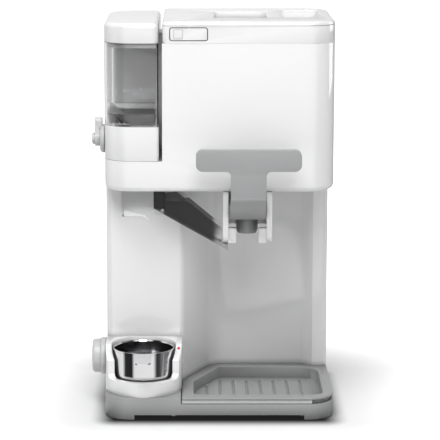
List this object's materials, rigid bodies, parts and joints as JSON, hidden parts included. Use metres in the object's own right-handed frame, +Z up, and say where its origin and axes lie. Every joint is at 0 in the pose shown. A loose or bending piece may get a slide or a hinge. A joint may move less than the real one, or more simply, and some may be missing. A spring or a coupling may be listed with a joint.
{
  "type": "soft serve ice cream maker",
  "caption": "Countertop soft-serve maker with pull handle and valve, geared paddle in a lift-out freezer bowl, condiment hopper with chute, cup warmer and drip tray.",
  "frame": {"origin": "on the table, under the middle of the machine's outline with its knobs, cup handle and cord gland", "axes": "+X to the machine's right seen from its front, +Y to its back, +Z up"},
  "size_m": [0.255, 0.231, 0.4147],
  "materials": {
    "white_shell": "gloss",
    "white_inner": "satin",
    "grey_satin": "satin",
    "clear_plastic": "clear gloss",
    "dark_plastic": "satin",
    "bowl_shell": "satin",
    "steel": "turned",
    "motor_steel": "zinc plated",
    "cup_steel": "polished",
    "heater_plate": "brushed",
    "rubber": "matt",
    "gear_plastic": "natural acetal",
    "pinion_brass": "turned",
    "circuit_board": "lacquer",
    "red_lens": "clear gloss"
  },
  "bodies": {
    "housing": {"main_housing": "white_shell", "top_collar": "white_shell", "rocker_bezel": "dark_plastic", "rocker_switch": "dark_plastic", "spout_bracket": "white_shell", "valve_body": "white_inner", "nozzle": "grey_satin", "handle_pin": "steel", "gear_axle": "steel", "gear_cover": "white_inner", "motor_body": "motor_steel", "column_shell": "white_shell", "rear_cover": "white_shell", "rear_screws": "steel", "control_board": "circuit_board", "cord_gland": "rubber", "base_frame": "grey_satin", "base_plate": "dark_plastic", "base_screws": "steel", "rubber_feet": "rubber", "warmer_holder": "white_shell", "warmer_plate": "heater_plate", "warmer_switch": "dark_plastic", "indicator_lens": "red_lens"},
    "bowl": {"freezer_bowl": "bowl_shell", "bowl_gasket": "rubber"},
    "lid": {"lid": "white_shell"},
    "paddle": {"paddle": "white_inner"},
    "spindle": {"spindle": "steel", "final_gear": "gear_plastic"},
    "compound": {"compound_gear": "gear_plastic"},
    "motor_rotor": {"motor_shaft": "steel", "motor_pinion": "pinion_brass"},
    "handle": {"handle": "grey_satin", "handle_spring": "steel"},
    "plunger": {"plunger": "white_inner", "plunger_pin": "steel", "plunger_seal": "rubber"},
    "dispenser": {"condiment_base": "white_shell", "condiment_hopper": "clear_plastic", "hopper_funnel": "clear_plastic"},
    "cap": {"condiment_cap": "white_shell"},
    "metering": {"condiment_rotor": "grey_satin", "condiment_knob": "grey_satin"},
    "chute": {"chute_socket": "clear_plastic", "condiment_chute": "clear_plastic"},
    "dial": {"warmer_dial": "grey_satin"},
    "rocker": {"power_rocker": "white_shell"},
    "cup": {"warmer_cup": "cup_steel"},
    "tray": {"drip_tray": "grey_satin"}
  },
  "joints": [
    {"name": "bowl_lift", "type": "slide", "parent": "housing", "child": "bowl", "axis": [0, 0, 1], "range_m": [0, 0.15]},
    {"name": "lid_lift", "type": "slide", "parent": "bowl", "child": "lid", "axis": [0, 0, 1], "range_m": [0, 0.08]},
    {"name": "paddle_spin", "type": "hinge", "parent": "bowl", "child": "paddle", "pos_m": [0.0369, 0.0225, 0.3], "axis": [0, 0, 1], "continuous": true},
    {"name": "spindle_spin", "type": "hinge", "parent": "housing", "child": "spindle", "pos_m": [0.0369, 0.0225, 0.25], "axis": [0, 0, 1], "continuous": true},
    {"name": "compound_spin", "type": "hinge", "parent": "housing", "child": "compound", "pos_m": [0.05818, 0.05871, 0.25], "axis": [0, 0, 1], "continuous": true},
    {"name": "motor_spin", "type": "hinge", "parent": "housing", "child": "motor_rotor", "pos_m": [0.0369, 0.0865, 0.23], "axis": [0, 0, 1], "continuous": true},
    {"name": "handle_pull", "type": "hinge", "parent": "housing", "child": "handle", "pos_m": [0.0369, -0.0555, 0.216], "axis": [1, 0, 0], "range_deg": [0, 30], "stiffness_Nm_per_rad": 0.6, "springref_deg": -20.05},
    {"name": "plunger_slide", "type": "slide", "parent": "housing", "child": "plunger", "axis": [0, 0, 1], "range_m": [0, 0.01215]},
    {"name": "dispenser_pull", "type": "slide", "parent": "housing", "child": "dispenser", "axis": [0, -1, 0], "range_m": [0, 0.13]},
    {"name": "cap_lift", "type": "slide", "parent": "dispenser", "child": "cap", "axis": [0, 0, 1], "range_m": [0, 0.06]},
    {"name": "condiment_spin", "type": "hinge", "parent": "dispenser", "child": "metering", "pos_m": [-0.1125, -0.0185, 0.2879], "axis": [1, 0, 0], "continuous": true},
    {"name": "chute_slide", "type": "slide", "parent": "housing", "child": "chute", "axis": [0, -1, 0], "range_m": [0, 0.075]},
    {"name": "dial_turn", "type": "hinge", "parent": "housing", "child": "dial", "pos_m": [-0.1125, -0.0235, 0.0535], "axis": [-1, 0, 0], "range_deg": [0, 270]},
    {"name": "rocker_tilt", "type": "hinge", "parent": "housing", "child": "rocker", "pos_m": [-0.0245, -0.0585, 0.4018], "axis": [0, 0, 1], "range_deg": [-4, 4]},
    {"name": "cup_lift", "type": "slide", "parent": "housing", "child": "cup", "axis": [0, 0, 1], "range_m": [0, 0.06]},
    {"name": "tray_lift", "type": "slide", "parent": "housing", "child": "tray", "axis": [0, 0, 1], "range_m": [0, 0.03]}
  ],
  "couplings": [
    {"joint": "paddle_spin", "follows": "spindle_spin", "ratio": 1},
    {"joint": "compound_spin", "follows": "spindle_spin", "ratio": -3.6667},
    {"joint": "motor_spin", "follows": "spindle_spin", "ratio": 13.444},
    {"joint": "plunger_slide", "follows": "handle_pull", "m_per_rad": 0.023156}
  ]
}
